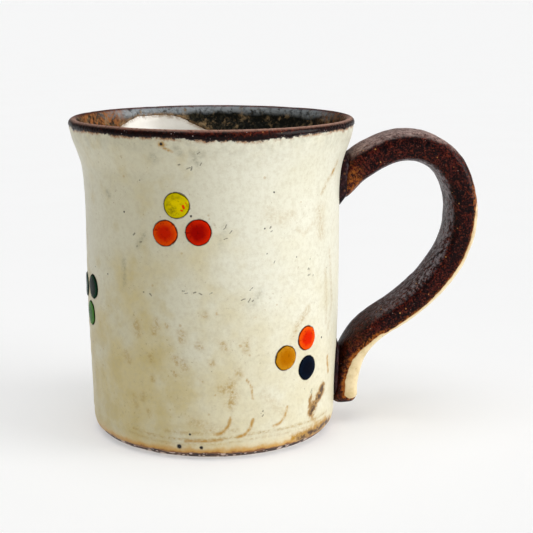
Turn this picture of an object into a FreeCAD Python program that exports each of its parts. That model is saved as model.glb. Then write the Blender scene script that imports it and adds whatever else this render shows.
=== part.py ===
"""Stoneware mug: a thrown vessel, a pulled strap handle, their slip joints, glaze coats and dots.

Millimetres. +Z is up, the origin lies on the table under the vessel's axis, and the handle stands
along +X. Azimuths are in degrees from the front, -Y, and grow towards the handle.
"""

import FreeCAD, Part
import math
import os

from FreeCAD import Vector

# The whole mug, glaze included
HEIGHT = 95.0
RIM_DIAMETER = 85.0
GLAZE = 0.35

# Thrown vessel, clay only. The outer wall runs from the foot's curve to the start of the lip.
WALL_AT_FOOT = 4.0
WALL_AT_LIP = 2.2
LIP_START = HEIGHT - GLAZE - WALL_AT_LIP / 2
LIP_OUTER = RIM_DIAMETER / 2 - GLAZE
OUTER_WALL = [  # (height, radius): a slight belly, then the flare
    (5.0, 36.75),
    (20.0, 37.25),
    (40.0, 37.9),
    (60.0, 37.9),
    (77.0, 38.25),
    (82.5, 39.0),
    (88.0, 40.9),
    (LIP_START, LIP_OUTER),
]
FLOOR_TOP = 6.0
FLOOR_CURVE = 9.0
FOOT_ROUNDING = 5.5
FOOT_RING_WIDTH = 5.0
RECESS_DEPTH = 1.6
RECESS_SLOPE = 1.4

# Where the coats of glaze and the foot's iron wash end
RIM_BAND_OUTSIDE = 91.9
RIM_BAND_INSIDE = 89.0
CREAM_ENDS_AT = 34.0  # degrees round the foot's curve, from its upper end
WASH_ENDS_AT = 55.0

# Pulled strap handle: its centreline in the XZ plane, from inside the wall down to the tail
STRAP_PATH = [
    (35.0, 71.0),
    (46.0, 81.5),
    (60.0, 86.0),
    (70.0, 81.5),
    (75.5, 70.0),
    (75.0, 58.5),
    (68.5, 46.0),
    (56.0, 34.5),
    (45.5, 26.5),
    (41.0, 17.0),
    (40.0, 7.0),
]
STRAP_WIDTH = [(0.0, 16.0), (0.35, 17.0), (1.0, 15.5)]
STRAP_THICKNESS = [(0.0, 9.0), (0.25, 8.5), (0.4, 8.0), (0.6, 8.0), (0.85, 7.0), (1.0, 7.5)]
BACK_SQUARENESS = 3.8
PALM_SQUARENESS = 2.8
STRAP_SECTIONS = 28
SECTION_POINTS = 28
TAIL_ROUNDING = [(0.0, 0.74), (0.6, 0.9), (2.0, 1.0)]  # (distance from the tail's end, scale)

# Slip joints: coils of soft clay pressed round the strap where it meets the wall
COIL_EMBED = 4.0
COIL_SQUARENESS = 2.8
UPPER_COIL = {"z": 76.6, "height": 17.8, "width": 18.8, "rise": 2.6}
LOWER_COIL = {"z": 17.6, "height": 20.8, "width": 18.0, "rise": 1.5}
COIL_NARROWING = [(0.1, 0.0), (0.6, 0.2), (1.0, 0.7)]  # (share of the rise, narrowing each side)

# Cream stripe on the strap's back: (share of the strap's length, its edge's distance from the
# centreline towards the back)
STRIPE_EDGE = [(0.36, 6.0), (0.40, 3.1), (0.84, 2.9), (0.90, 1.0), (0.985, 1.0)]
STRIPE_SECTIONS = 22
STRIPE_REACH = 12.0

# Enamel dots, in groups of three: (azimuth, height) of the group, then each dot's place in it
DOT_RADIUS = 3.65
DOT_RISE = 0.4
DOT_BEVEL = 0.3
DOT_GROUPS = {
    "front": (-15.5, 69.0, {"yellow": (-1.0, 5.0), "orange": (-4.5, -3.0), "red": (5.0, -2.5)}),
    "right": (39.0, 29.0, {"ochre": (-5.5, 0.0), "vermilion": (2.5, 4.5), "navy": (3.0, -4.5)}),
    "left": (-75.0, 43.5, {"bottle_green": (4.0, 3.0), "leaf_green": (1.0, -5.5), "slate": (-5.0, 2.0)}),
    "rear": (207.0, 60.5, {"cobalt": (0.5, 5.0), "yellow": (-4.5, -2.5), "vermilion": (4.5, -3.0)}),
    "back": (132.0, 31.0, {"red": (-5.0, 1.5), "leaf_green": (4.0, 3.5), "ochre": (1.0, -5.0)}),
}


def point(radius, height):
    return Vector(radius, 0, height)


def line(a, b):
    return Part.LineSegment(a, b).toShape()


def arc(centre, radius, start, end):
    """Arc in the XZ plane between two angles, in degrees above the outward horizontal."""
    angles = [math.radians(a) for a in (start, (start + end) / 2, end)]
    ends = [centre + point(radius * math.cos(a), radius * math.sin(a)) for a in angles]
    return Part.Arc(*ends).toShape()


def blend(stops, at):
    """Straight-line interpolation in a list of (place, value)."""
    for (a, low), (b, high) in zip(stops, stops[1:]):
        if at <= b:
            return low + (high - low) * max(at - a, 0.0) / (b - a)
    return stops[-1][1]


def revolved(edges):
    face = Part.Face(Part.Wire(Part.__sortEdges__(edges)))
    return face.revolve(Vector(0, 0, 0), Vector(0, 0, 1), 360)


# ---- The vessel's profile -------------------------------------------------------------------

LIP_RADIUS = WALL_AT_LIP / 2
LIP_CENTRE = point(LIP_OUTER - LIP_RADIUS, LIP_START)
FOOT_CURVE, FOOT_OUTER = OUTER_WALL[0]
FOOT_CENTRE = point(FOOT_OUTER - FOOT_ROUNDING, FOOT_CURVE)
INNER_FOOT = FLOOR_TOP + FLOOR_CURVE


def wall_curve(stations, offset):
    curve = Part.BSplineCurve()
    curve.interpolate([point(radius + offset, height) for height, radius in stations])
    return curve


OUTER_CURVE = wall_curve(OUTER_WALL, 0.0)


def height_parameter(curve, height):
    """The parameter at which a rising curve reaches a height."""
    low, high = curve.FirstParameter, curve.LastParameter
    for _ in range(50):
        middle = (low + high) / 2
        if curve.value(middle).z < height:
            low = middle
        else:
            high = middle
    return (low + high) / 2


def span(curve, low, high):
    return curve.toShape(height_parameter(curve, low), height_parameter(curve, high))


def end_at(curve, height):
    return curve.value(height_parameter(curve, height))


def inner_wall():
    """Stations of the inner wall, from the floor's curve to the lip."""
    heights = [INNER_FOOT] + [z for z, _ in OUTER_WALL if z > INNER_FOOT + FLOOR_CURVE]
    stations = []
    for z in heights:
        share = (z - INNER_FOOT) / (LIP_START - INNER_FOOT)
        thickness = WALL_AT_FOOT + (WALL_AT_LIP - WALL_AT_FOOT) * share
        stations.append((z, end_at(OUTER_CURVE, z).x - thickness))
    return stations


INNER_WALL = inner_wall()


def foot_point(coat, angle):
    """A point on the foot's curve, an angle below its upper end."""
    radius = FOOT_ROUNDING + coat
    a = math.radians(angle)
    return FOOT_CENTRE + point(radius * math.cos(a), -radius * math.sin(a))


def floor_edges(coat):
    """The inside's lower part, a coat above the clay: the curve into the floor, then the floor."""
    radius = INNER_WALL[0][1]
    curve_centre = point(radius - FLOOR_CURVE, INNER_FOOT)
    bend = arc(curve_centre, FLOOR_CURVE - coat, 0, -90)
    flat = line(point(radius - FLOOR_CURVE, FLOOR_TOP + coat), point(0, FLOOR_TOP + coat))
    return [bend, flat]


def filled_vessel(coat):
    """The vessel as a solid block, with a coat on its outside and its lip."""
    table_angle = math.degrees(math.asin(FOOT_CURVE / (FOOT_ROUNDING + coat)))
    top = LIP_CENTRE + point(0, LIP_RADIUS + coat)
    return revolved([
        arc(FOOT_CENTRE, FOOT_ROUNDING + coat, -table_angle, 0),
        wall_curve(OUTER_WALL, coat).toShape(),
        arc(LIP_CENTRE, LIP_RADIUS + coat, 0, 90),
        line(top, point(0, top.z)),
        line(point(0, top.z), point(0, 0)),
        line(point(0, 0), foot_point(coat, table_angle)),
    ])


def thrown_body():
    """Wall, floor, lip and turned foot ring, thrown in one piece."""
    table_angle = math.degrees(math.asin(FOOT_CURVE / FOOT_ROUNDING))
    ring_outer = foot_point(0.0, table_angle).x
    ring_inner = ring_outer - FOOT_RING_WIDTH
    recess = ring_inner - RECESS_SLOPE
    return revolved([
        OUTER_CURVE.toShape(),
        arc(LIP_CENTRE, LIP_RADIUS, 0, 180),
        wall_curve(INNER_WALL, 0.0).toShape(),
        *floor_edges(0.0),
        line(point(0, FLOOR_TOP), point(0, RECESS_DEPTH)),
        line(point(0, RECESS_DEPTH), point(recess, RECESS_DEPTH)),
        line(point(recess, RECESS_DEPTH), point(ring_inner, 0)),
        line(point(ring_inner, 0), point(ring_outer, 0)),
        arc(FOOT_CENTRE, FOOT_ROUNDING, -table_angle, 0),
    ])


# ---- Coats on the vessel --------------------------------------------------------------------


def outer_cream_glaze():
    """From the rim band down the wall and part of the way round the foot's curve."""
    glazed = wall_curve(OUTER_WALL, GLAZE)
    return revolved([
        span(OUTER_CURVE, FOOT_CURVE, RIM_BAND_OUTSIDE),
        span(glazed, FOOT_CURVE, RIM_BAND_OUTSIDE),
        line(end_at(OUTER_CURVE, RIM_BAND_OUTSIDE), end_at(glazed, RIM_BAND_OUTSIDE)),
        arc(FOOT_CENTRE, FOOT_ROUNDING, 0, -CREAM_ENDS_AT),
        arc(FOOT_CENTRE, FOOT_ROUNDING + GLAZE, 0, -CREAM_ENDS_AT),
        line(foot_point(0, CREAM_ENDS_AT), foot_point(GLAZE, CREAM_ENDS_AT)),
    ])


def foot_iron_wash():
    return revolved([
        arc(FOOT_CENTRE, FOOT_ROUNDING, -CREAM_ENDS_AT, -WASH_ENDS_AT),
        arc(FOOT_CENTRE, FOOT_ROUNDING + GLAZE, -CREAM_ENDS_AT, -WASH_ENDS_AT),
        line(foot_point(0, CREAM_ENDS_AT), foot_point(GLAZE, CREAM_ENDS_AT)),
        line(foot_point(0, WASH_ENDS_AT), foot_point(GLAZE, WASH_ENDS_AT)),
    ])


def rim_iron_glaze():
    """Over the lip, a short way down the outside and further down the inside."""
    outer, inner = wall_curve(OUTER_WALL, GLAZE), wall_curve(INNER_WALL, -GLAZE)
    clay_inner = wall_curve(INNER_WALL, 0.0)
    return revolved([
        span(OUTER_CURVE, RIM_BAND_OUTSIDE, LIP_START),
        arc(LIP_CENTRE, LIP_RADIUS, 0, 180),
        span(clay_inner, RIM_BAND_INSIDE, LIP_START),
        line(end_at(clay_inner, RIM_BAND_INSIDE), end_at(inner, RIM_BAND_INSIDE)),
        span(inner, RIM_BAND_INSIDE, LIP_START),
        arc(LIP_CENTRE, LIP_RADIUS + GLAZE, 0, 180),
        span(outer, RIM_BAND_OUTSIDE, LIP_START),
        line(end_at(OUTER_CURVE, RIM_BAND_OUTSIDE), end_at(outer, RIM_BAND_OUTSIDE)),
    ])


def lining_glaze():
    """The inside, from the rim band's lower edge to the middle of the floor."""
    clay, glazed = wall_curve(INNER_WALL, 0.0), wall_curve(INNER_WALL, -GLAZE)
    return revolved([
        span(clay, INNER_FOOT, RIM_BAND_INSIDE),
        span(glazed, INNER_FOOT, RIM_BAND_INSIDE),
        line(end_at(clay, RIM_BAND_INSIDE), end_at(glazed, RIM_BAND_INSIDE)),
        *floor_edges(0.0),
        *floor_edges(GLAZE),
        line(point(0, FLOOR_TOP), point(0, FLOOR_TOP + GLAZE)),
    ])


# ---- Handle ---------------------------------------------------------------------------------


def strap_path():
    path = Part.BSplineCurve()
    path.interpolate([point(x, z) for x, z in STRAP_PATH])
    return path


PATH = strap_path()
PATH_LENGTH = PATH.length()


def path_frame(place):
    """The centreline's point, and the direction of the strap's back, at an exact point of it."""
    tangent = PATH.tangent(PATH.parameter(place))[0]
    return place, Vector(-tangent.z, 0, tangent.x)


def ring(frame, half_width, half_thickness, back_squareness, palm_squareness):
    """A closed, rounded section across the strap."""
    centre, back = frame
    points = []
    for k in range(SECTION_POINTS):
        a = 2 * math.pi * k / SECTION_POINTS
        c, s = math.cos(a), math.sin(a)
        power = palm_squareness + (back_squareness - palm_squareness) * (1 + s) / 2
        scale = (abs(c) ** power + abs(s) ** power) ** (-1 / power)
        points.append(centre + Vector(0, half_width * scale * c, 0) + back * (half_thickness * scale * s))
    curve = Part.BSplineCurve()
    curve.interpolate(points, PeriodicFlag=True)
    return Part.Wire([curve.toShape()])


def strap_block(coat):
    """The whole strap, running on into the wall, with a coat all round and on the tail's end."""
    wires = []
    places = PATH.discretize(Number=STRAP_SECTIONS)
    tail = places[-1]
    step = PATH_LENGTH / (STRAP_SECTIONS - 1)
    stops = [(i * step, p) for i, p in enumerate(places[:-1])]
    stops += [(PATH_LENGTH - d, tail + Vector(0, 0, d)) for d, _ in TAIL_ROUNDING]
    for along, place in sorted(stops, key=lambda stop: stop[0]):
        share = along / PATH_LENGTH
        scale = blend(TAIL_ROUNDING, PATH_LENGTH - along)
        centre, back = path_frame(place)
        if along > PATH_LENGTH - 1e-6:
            centre = centre - Vector(0, 0, coat)
        wires.append(ring(
            (centre, back),
            scale * blend(STRAP_WIDTH, share) / 2 + coat,
            scale * blend(STRAP_THICKNESS, share) / 2 + coat,
            BACK_SQUARENESS,
            PALM_SQUARENESS,
        ))
    return Part.makeLoft(wires, True)


def slip_coil(spec, vessel, strap):
    """A rounded pad on the wall round the strap, which narrows away from the wall."""
    wall = end_at(OUTER_CURVE, spec["z"]).x
    half_width, half_height = spec["width"] / 2, spec["height"] / 2
    stops = [(wall - COIL_EMBED, 0.0)]
    stops += [(wall + share * spec["rise"], narrowing) for share, narrowing in COIL_NARROWING]
    wires = []
    for x, narrowing in stops:
        frame = (point(x, spec["z"]), Vector(0, 0, 1))
        sizes = (half_width - narrowing, half_height - narrowing)
        wires.append(ring(frame, *sizes, COIL_SQUARENESS, COIL_SQUARENESS))
    pad = Part.makeLoft(wires, True, True).common(filled_vessel(spec["rise"]))
    return pad.cut(vessel).cut(strap)


def stripe_block():
    """Everything on the back's side of the cream stripe's edge."""
    wires = []
    first, last = STRIPE_EDGE[0][0], STRIPE_EDGE[-1][0]
    for i in range(STRIPE_SECTIONS):
        share = first + (last - first) * i / (STRIPE_SECTIONS - 1)
        place = PATH.value(PATH.parameterAtDistance(share * PATH_LENGTH, PATH.FirstParameter))
        centre, back = path_frame(place)
        near = centre + back * blend(STRIPE_EDGE, share)
        far = centre + back * STRIPE_REACH
        side = Vector(0, STRIPE_REACH, 0)
        wires.append(Part.makePolygon([near - side, near + side, far + side, far - side, near - side]))
    return Part.makeLoft(wires, True, True)


# ---- Dots -----------------------------------------------------------------------------------


def enamel_dot(coat_shell, azimuth, height):
    """A thin disc of enamel lying on the cream glaze, with a bevelled edge."""
    a = math.radians(azimuth)
    outward = Vector(math.sin(a), -math.cos(a), 0)
    surface = end_at(OUTER_CURVE, height).x + GLAZE
    bevel_start = 2.0
    slope = DOT_BEVEL / DOT_RISE
    base = outward * (surface - bevel_start) + Vector(0, 0, height)
    wide = DOT_RADIUS + slope * bevel_start
    length = bevel_start + 4 * DOT_RISE
    cone = Part.makeCone(wide, wide - slope * length, length, base, outward)
    return cone.common(coat_shell)


def enamel_dots():
    shell = filled_vessel(GLAZE + DOT_RISE).cut(filled_vessel(GLAZE))
    made = {}
    for group, (azimuth, height, dots) in DOT_GROUPS.items():
        for colour, (along, up) in dots.items():
            radius = end_at(OUTER_CURVE, height + up).x + GLAZE
            turned = azimuth + math.degrees(along / radius)
            made[f"dot_{group}_{colour}"] = enamel_dot(shell, turned, height + up)
    return made


# ---- Assembly -------------------------------------------------------------------------------


def largest(shape):
    """The biggest solid of a cut, without the slivers that the coils' corners leave beside it."""
    return max(shape.Solids, key=lambda solid: solid.Volume)


def build():
    vessel = filled_vessel(0.0)
    strap = strap_block(0.0)
    glazed_strap = strap_block(GLAZE)
    upper_coil = slip_coil(UPPER_COIL, vessel, strap)
    lower_coil = slip_coil(LOWER_COIL, vessel, strap)
    skin = glazed_strap.cut(strap).cut(vessel).cut(upper_coil).cut(lower_coil)
    stripe = stripe_block()
    nodes = {
        "thrown_body": thrown_body(),
        "outer_cream_glaze": outer_cream_glaze().cut(upper_coil).cut(lower_coil).cut(glazed_strap),
        "rim_iron_glaze": rim_iron_glaze(),
        "lining_glaze": lining_glaze(),
        "foot_iron_wash": foot_iron_wash().cut(lower_coil).cut(glazed_strap),
        "strap_handle": strap.cut(vessel),
        "upper_slip_joint": upper_coil,
        "lower_slip_joint": lower_coil,
        "handle_iron_glaze": largest(skin.cut(stripe)),
        "handle_cream_glaze": largest(skin.common(stripe)),
    }
    nodes.update(enamel_dots())
    return nodes


def main():
    os.makedirs("parts", exist_ok=True)
    for name, shape in build().items():
        shape.exportStep(f"parts/{name}.step")
        print(f"{name}: {len(shape.Solids)} solid, {shape.Volume:.1f} mm3, valid {shape.isValid()}")


main()
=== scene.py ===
"""A hand-thrown stoneware mug: cream glaze, a dark iron glaze on rim and strap handle, enamel dots.

Lengths are in millimetres until a mesh, light or camera is made, where MM turns them into metres.
An azimuth is in degrees about the mug's axis, 0 at the front (-Y) and 90 at the handle (+X).
"""

import math

import bmesh
import bpy
import numpy as np
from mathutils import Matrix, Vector
from mathutils.bvhtree import BVHTree


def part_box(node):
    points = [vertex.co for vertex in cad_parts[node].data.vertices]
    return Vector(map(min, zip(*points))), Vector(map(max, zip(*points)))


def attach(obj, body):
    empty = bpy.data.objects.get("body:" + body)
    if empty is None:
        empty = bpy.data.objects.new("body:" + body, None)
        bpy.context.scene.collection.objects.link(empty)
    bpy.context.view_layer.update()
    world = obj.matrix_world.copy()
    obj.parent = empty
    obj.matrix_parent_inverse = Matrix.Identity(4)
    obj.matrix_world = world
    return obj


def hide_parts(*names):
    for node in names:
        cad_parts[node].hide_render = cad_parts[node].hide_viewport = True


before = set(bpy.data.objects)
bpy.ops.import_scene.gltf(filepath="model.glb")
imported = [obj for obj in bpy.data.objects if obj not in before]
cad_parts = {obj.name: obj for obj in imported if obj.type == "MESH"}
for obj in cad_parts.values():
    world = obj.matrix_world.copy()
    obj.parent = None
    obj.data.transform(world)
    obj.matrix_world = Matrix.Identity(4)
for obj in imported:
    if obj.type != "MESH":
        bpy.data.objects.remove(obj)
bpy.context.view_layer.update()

MM = 0.001
GLAZE = 0.35  # thickness of the glaze over the clay
RIM_ROLL = 0.14  # how far the rim's iron glaze stands proud of the cream it overlaps
SINK = 0.25  # how far a coat's hidden side lies inside the clay
WALL_RADIUS = 38.4
PER_DEGREE = math.radians(WALL_RADIUS)  # millimetres along the wall for a degree about the axis
COLUMNS = 448  # points around the mug
AZIMUTHS = np.arange(COLUMNS) * 360 / COLUMNS - 180
ROW_STEP = 0.48  # spacing of the rows up the wall
HANDLE_AT = 90.0
HANDLE_HOLE = (54.0, 0.0, 58.0)  # the middle of the space inside the handle
DOT_RADIUS = 3.65
DOT_RISE = 0.4
PORE_SIZE = 1.25  # spacing of the iron glaze's pores
STRAP_VOXEL = 0.42  # fineness of the remeshed strap and slip joints
JOINT_VOXEL = 0.4
NOISE_CELLS = 16  # after that many lumps the noise repeats
DRAWN_OUT = (1, 1, 0.2)  # makes the lumps at a glaze's edge five times as high as wide

# Heights on the wall where the coats begin and end. The rim's goes over the lip, from outside to in.
CREAM_FROM = 1.2
CREAM_TO = 94.0
RIM_FROM = 90.3
RIM_TO = 84.0
LINING_FROM = 93.0
WASH_TO = 3.0

# The rim's iron glaze: its lower edge outside sags a little near the front. Inside, it hangs lower, and
# a patch of it is missing on the far side, so that the cream shows. Heights in mm, the rest in degrees.
RIM_LINE = 93.0
RIM_SAG = 1.0
RIM_SAG_AT = 8.0
RIM_SAG_WIDTH = 24.0
INNER_LINE = 85.5
PATCH_RISE = 6.7
PATCH_AT = -153.0
PATCH_WIDTH = 23.0
# Places where the rim's glaze ran down a little: azimuth, half width in mm, extra length in mm.
RIM_DRIPS = [(28, 0.9, 0.5), (-33, 1.5, 0.35), (-4, 1.0, 0.3), (61, 1.3, 0.5), (-71, 1.1, 0.5)]
RIM_DRIPS += [(140, 1.4, 0.8), (205, 1.2, 0.7), (-115, 1.0, 0.6)]
# Pinholes burnt dark: azimuth, height, radius, depth.
PITS = [
    (-21, 91, 0.45, 0.2),
    (-18, 4, 0.75, 0.5),
    (-8, 4, 0.55, 0.5),
    (-13, 8, 0.35, 0.2),
    (-11, 71, 0.34, 0.1),
    (54, 32, 0.36, 0.1),
    (-42, 71, 0.30, 0.1),
    (-54, 52, 0.24, 0.1),
    (24, 77, 0.26, 0.1),
    (20, 67, 0.26, 0.1),
    (150, 70, 0.30, 0.1),
    (-140, 25, 0.35, 0.1),
]
# Shallow dents: azimuth, height, radius, depth.
DENTS = [(-44, 53, 1.0, 0.2), (61, 80, 1.5, 0.22), (61, 23, 1.6, 0.18)]
DENTS += [(150, 40, 1.1, 0.2), (-145, 76, 0.9, 0.2)]


def smoothstep(low, high, value):
    """0 below low, 1 above high, and a smooth rise between them. With low above high it falls."""
    t = np.clip((np.asarray(value, float) - low) / (high - low), 0, 1)
    return t * t * (3 - 2 * t)


def lumps(points, size, seed):
    """Smooth noise from -1 to 1, with lumps of about that size in millimetres."""
    table = np.random.default_rng(seed).uniform(-1, 1, (NOISE_CELLS,) * 3)
    place = np.asarray(points, float) / size + seed * 3.7
    cell = np.floor(place).astype(int)
    part = place - cell
    part = part * part * (3 - 2 * part)
    total = np.zeros(place.shape[:-1])
    for corner in np.ndindex(2, 2, 2):
        share = np.where(corner, part, 1 - part).prod(axis=-1)
        total += share * table[tuple(np.moveaxis((cell + corner) % NOISE_CELLS, -1, 0))]
    return total


def layered(points, seed, *layers):
    """Lumps of several sizes added up. Each layer is (height, size), and each has a seed of its own."""
    return sum(high * lumps(points, size, seed + i) for i, (high, size) in enumerate(layers))


def bmesh_of(*nodes):
    """A new bmesh that holds these CAD nodes' meshes."""
    mesh = bmesh.new()
    for node in nodes:
        mesh.from_mesh(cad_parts[node].data)
    return mesh


def half_section(node, turn=0.37):
    """A turned node's outline in one half plane: (radius, height) from under its middle to its floor."""
    mesh = bmesh_of(node)
    bmesh.ops.remove_doubles(mesh, verts=mesh.verts[:], dist=2e-6)
    along = Vector((-math.cos(turn), -math.sin(turn), 0))
    across = (-along.y, along.x, 0)
    everything = mesh.verts[:] + mesh.edges[:] + mesh.faces[:]
    cut = bmesh.ops.bisect_plane(mesh, geom=everything, dist=1e-6, plane_co=(0, 0, 0), plane_no=across)
    places, links = {}, {}
    edges = [edge.verts for edge in cut["geom_cut"] if isinstance(edge, bmesh.types.BMEdge)]
    for a, b in edges:
        if min(along.dot(a.co), along.dot(b.co)) < -1e-6:
            continue
        for v, other in ((a, b), (b, a)):
            links.setdefault(v.index, []).append(other.index)
            places[v.index] = (along.dot(v.co) / MM, v.co.z / MM)
    mesh.free()
    loose = [i for i in links if len(links[i]) == 1]
    current = min(loose, key=lambda i: places[i][1])
    before, chain = None, [current]
    while True:
        ahead = [i for i in links[current] if i != before]
        if not ahead:
            break
        before, current = current, ahead[0]
        chain.append(current)
    outline = [places[i] for i in chain]
    return np.array([(0, outline[0][1])] + outline + [(0, outline[-1][1])])


class Section:
    """The clay's outline by arc length from the middle of the underside, with its outward normal."""

    def __init__(self, outline, step=0.15, softness=4):
        length = np.concatenate([[0], np.cumsum(np.hypot(*np.diff(outline, axis=0).T))])
        self.arc = np.arange(0, length[-1], step)
        lines = [np.interp(self.arc, length, outline[:, k]) for k in (0, 1)]
        kernel = np.exp(-0.5 * (np.arange(-3 * softness, 3 * softness + 1) / softness) ** 2)
        kernel /= kernel.sum()
        smooth = []
        for line in lines:
            padded = np.pad(line, 3 * softness, mode="reflect", reflect_type="odd")
            smooth.append(np.convolve(padded, kernel, mode="valid"))
        self.radius, self.height = np.maximum(smooth[0], 0), smooth[1]
        along_r, along_z = np.gradient(self.radius), np.gradient(self.height)
        size = np.hypot(along_r, along_z)
        self.out_r, self.out_z = along_z / size, -along_r / size
        self.lip = int(np.argmax(self.height))
        self.foot = int(np.argmax(np.where(self.height < 0.08, self.radius, 0)))

    def at(self, arc):
        """Radius, height and normal at that arc length."""
        lines = (self.radius, self.height, self.out_r, self.out_z)
        return [np.interp(arc, self.arc, line) for line in lines]

    def outside(self, height):
        """Arc length at that height on the outer wall."""
        part = slice(self.foot, self.lip + 1)
        return float(np.interp(height, self.height[part], self.arc[part]))

    def inside(self, height):
        """Arc length at that height on the inner wall."""
        return float(np.interp(height, self.height[self.lip :][::-1], self.arc[self.lip :][::-1]))


section = Section(half_section("thrown_body"))
LIP_ARC = float(section.arc[section.lip])
FOOT_ARC = float(section.arc[section.foot])
END_ARC = float(section.arc[-1])


def apart(azimuth, other):
    """Degrees between two azimuths, from -180 to 180."""
    return (np.asarray(azimuth, float) - other + 180) % 360 - 180


def away(azimuth, middle, low, high):
    """A smoothstep over the degrees between two azimuths."""
    return smoothstep(low, high, np.abs(apart(azimuth, middle)))


def foot_line(azimuth):
    """Height of the faint turned line above the foot."""
    return 6.3 + np.minimum(0.0012 * apart(azimuth, -14) ** 2, 1.1) + 0.15 * np.sin(np.radians(azimuth) * 5)


def around(azimuth, radius, height):
    """Points at that azimuth, distance from the axis and height."""
    turn = np.radians(azimuth)
    return np.stack([radius * np.sin(turn), -radius * np.cos(turn), height + 0 * turn], -1)


def relief(azimuth, arc, base):
    """How far the thrown surface stands off its true shape: rings, unevenness, dents, the turned line."""
    height = base[..., 2]
    out = arc < LIP_ARC
    wall = out & (arc > FOOT_ARC)
    turn = azimuth / 360
    uneven = layered(base, 3, (0.16, 30), (0.06, 9), (0.02, 2.6))
    swell = 0.6 + 0.4 * lumps(base, 17, 6)
    near_lip = smoothstep(0.5, 4.0, np.abs(arc - LIP_ARC))
    near_foot = smoothstep(0.0, 3.0, height)
    rings_outside = 0.045 * np.sin(2 * np.pi * (arc / 4.6 - turn)) * swell * near_lip
    rings_inside = 0.17 * np.sin(2 * np.pi * (arc / 6.1 + turn)) * swell * near_lip
    rings_under = 0.05 * np.sin(2 * np.pi * (arc / 1.9 + turn)) * smoothstep(27, 24, arc)
    total = uneven * (0.4 + 0.6 * near_lip) * (0.2 + 0.8 * near_foot)
    total += np.select([wall, out], [rings_outside, rings_under], rings_inside)
    above = height - foot_line(azimuth)
    total += np.where(wall, 0.10 * np.tanh(above / 0.22) * np.exp(-((above / 2.2) ** 2)), 0)
    for at, level, radius, depth in DENTS + PITS:
        reach = np.hypot(apart(azimuth, at) * PER_DEGREE, height - level) / radius
        total -= np.where(out, depth * np.exp(-(reach**2) * 1.6), 0)
    total *= smoothstep(1.0, 6.0, np.hypot(base[..., 0], base[..., 1])) * smoothstep(0.0, 0.9, height)
    calm = total * away(azimuth, HANDLE_AT, 20, 34)
    return np.where(out & (height > 2) & (height < 90), calm, total)


def on_clay(azimuth, arc, lift):
    """Points that far above the thrown clay, at an azimuth and an arc length."""
    radius, height, out_r, out_z = section.at(arc)
    off = lift + relief(azimuth + 0 * radius, arc + 0 * azimuth, around(azimuth, radius, height))
    return around(azimuth, np.maximum(radius + out_r * off, 0), height + out_z * off)


def new_object(name, data):
    """An object in the scene for a mesh, light or camera."""
    made = bpy.data.objects.new(name, data)
    bpy.context.scene.collection.objects.link(made)
    return made


def add_mesh(name, points, faces, masks=None):
    """A smooth-shaded object from points in millimetres. Masks are named values, one for each point."""
    mesh = bpy.data.meshes.new(name)
    mesh.from_pydata((np.asarray(points) * MM).tolist(), [], faces)
    mesh.polygons.foreach_set("use_smooth", [True] * len(mesh.polygons))
    for mask, values in (masks or {}).items():
        layer = mesh.attributes.new(mask, "FLOAT", "POINT")
        layer.data.foreach_set("value", np.asarray(values, np.float32).ravel())
    mesh.update()
    return new_object(name, mesh)


def dress(piece, slot, material, *nodes):
    """Gives a piece its material and hides the CAD nodes it stands for. The slot is not used. The whole mug
    is one body.
    """
    piece.data.materials.clear()
    piece.data.materials.append(material)
    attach(piece, "root")
    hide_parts(*nodes)


def rows_between(start, end, step=ROW_STEP):
    """Arc lengths from start to end, evenly spaced at about that step."""
    return np.linspace(start, end, max(3, int(round(abs(end - start) / step)) + 1))


def ring_faces(rows, columns, closed=False):
    """Faces between rows that each go once round. Closed joins the last row to the first as well."""
    faces = []
    for i in range(rows if closed else rows - 1):
        j = (i + 1) % rows
        for k in range(columns):
            m = (k + 1) % columns
            faces.append((i * columns + k, i * columns + m, j * columns + m, j * columns + k))
    return faces


def coat(name, node, slot, material, arcs, lift, masks=None):
    """A closed coat of glaze: its seen side at lift above the clay, its hidden side sunk in the clay."""
    azimuth, arc = np.meshgrid(AZIMUTHS, arcs)
    back_rows = np.unique(np.linspace(0, len(arcs) - 1, 20).astype(int))[::-1]
    hidden = on_clay(azimuth[back_rows], arc[back_rows], -SINK)
    points = np.concatenate([on_clay(azimuth, arc, lift), hidden])
    full = {key: np.concatenate([value, value[back_rows]]) for key, value in (masks or {}).items()}
    made = add_mesh(name, points.reshape(-1, 3), ring_faces(len(points), COLUMNS, closed=True), full)
    dress(made, slot, material, node)


def rim_edge(azimuth, base):
    """Height of the ragged lower edge of the rim's glaze outside."""
    edge = RIM_LINE - RIM_SAG * np.exp(-((apart(azimuth, RIM_SAG_AT) / RIM_SAG_WIDTH) ** 2))
    edge = edge + layered(base * DRAWN_OUT, 11, (0.22, 6), (0.16, 1.7))
    for at, half_width, length in RIM_DRIPS:
        reach = apart(azimuth, at) * PER_DEGREE / half_width
        edge = edge - length * np.exp(-(reach**2))
    return edge


def rim_edge_inside(azimuth, base):
    """Height of the ragged lower edge of the rim's glaze inside."""
    patch = np.exp(-np.abs(apart(azimuth, PATCH_AT) / PATCH_WIDTH) ** 3)
    return INNER_LINE + PATCH_RISE * patch + layered(base * DRAWN_OUT, 13, (0.35, 5), (0.3, 1.6))


def grid(arcs):
    """Azimuth, arc length, height and clay points for every place of a coat's grid."""
    azimuth, arc = np.meshgrid(AZIMUTHS, arcs)
    radius, height, _, _ = section.at(arc)
    return azimuth, arc, height, around(azimuth, radius, height)


# ---------------- marks painted on the cream wall


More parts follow.
